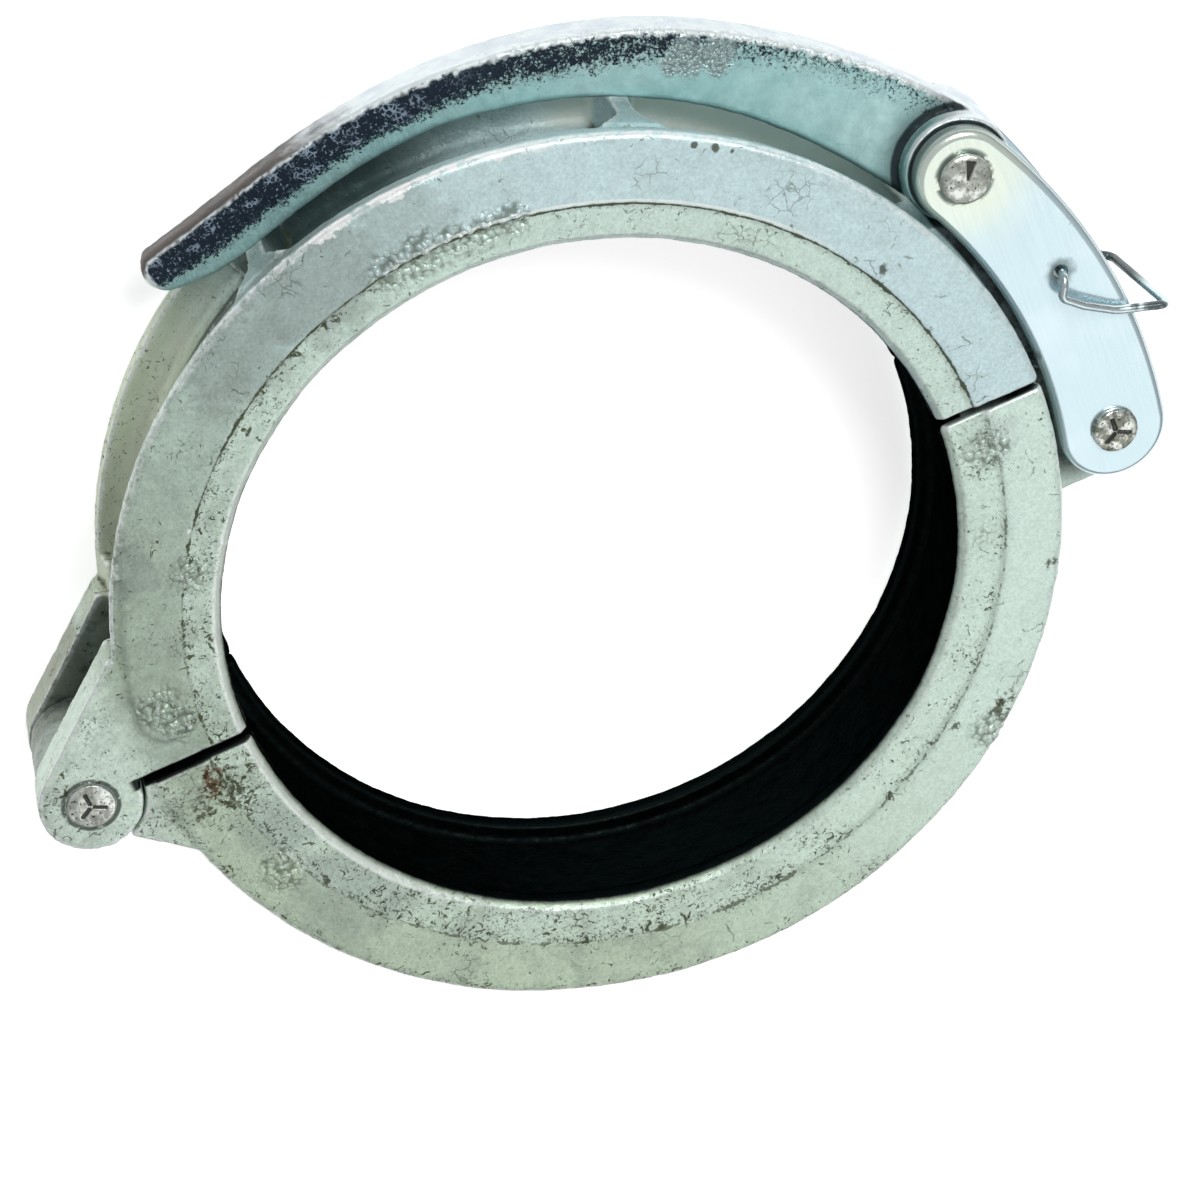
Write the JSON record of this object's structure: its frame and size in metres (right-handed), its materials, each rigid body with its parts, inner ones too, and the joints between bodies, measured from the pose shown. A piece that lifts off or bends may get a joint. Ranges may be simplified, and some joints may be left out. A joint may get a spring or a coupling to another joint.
{
  "type": "shouldered pipe coupling",
  "caption": "Hinged two-half pipe coupling for shouldered pipe ends, closed by a curved over-centre lever with link plates and a wire safety clip.",
  "frame": {"origin": "centre of the pipe bore, half way between the two faces", "axes": "+X along the joint between the halves towards the closing side, +Y towards the half that the lever lies over, +Z along the pipe out of the front face"},
  "size_m": [0.3636, 0.3027, 0.055],
  "materials": {
    "upper_casting": "zinc plated rough casting, satin",
    "lower_casting": "zinc plated rough casting, satin",
    "lever_casting": "zinc plated casting, hammered and darkened",
    "link_steel": "bright zinc plated",
    "pin_steel": "bright, staked ends",
    "clip_wire": "bright spring wire"
  },
  "bodies": {
    "upper": {"upper_half": "upper_casting", "hinge_pin": "pin_steel"},
    "lower": {"lower_half": "lower_casting"},
    "link": {"front_link_plate": "link_steel", "rear_link_plate": "link_steel", "lever_link_pin": "pin_steel", "latch_pin": "pin_steel"},
    "lever": {"lever": "lever_casting"},
    "clip": {"safety_clip": "clip_wire"}
  },
  "joints": [
    {"name": "half_hinge", "type": "hinge", "parent": "upper", "child": "lower", "pos_m": [-0.161, 0.0035, 0], "axis": [0, 0, 1], "range_deg": [-7, 0]},
    {"name": "link_swing", "type": "hinge", "parent": "lower", "child": "link", "pos_m": [0.1596, -0.0256, 0], "axis": [0, 0, 1], "range_deg": [-115, 0]},
    {"name": "lever_swing", "type": "hinge", "parent": "link", "child": "lever", "pos_m": [0.1423, 0.0713, 0], "axis": [0, 0, 1], "range_deg": [-75, 0]},
    {"name": "clip_swing", "type": "hinge", "parent": "link", "child": "clip", "pos_m": [0.1596, 0.0308, 0], "axis": [0, 0, 1], "range_deg": [0, 60]}
  ],
  "couplings": [
    {"joint": "link_swing", "follows": "lever_swing", "ratio": 1.5},
    {"joint": "half_hinge", "follows": "lever_swing", "ratio": 0.09}
  ]
}
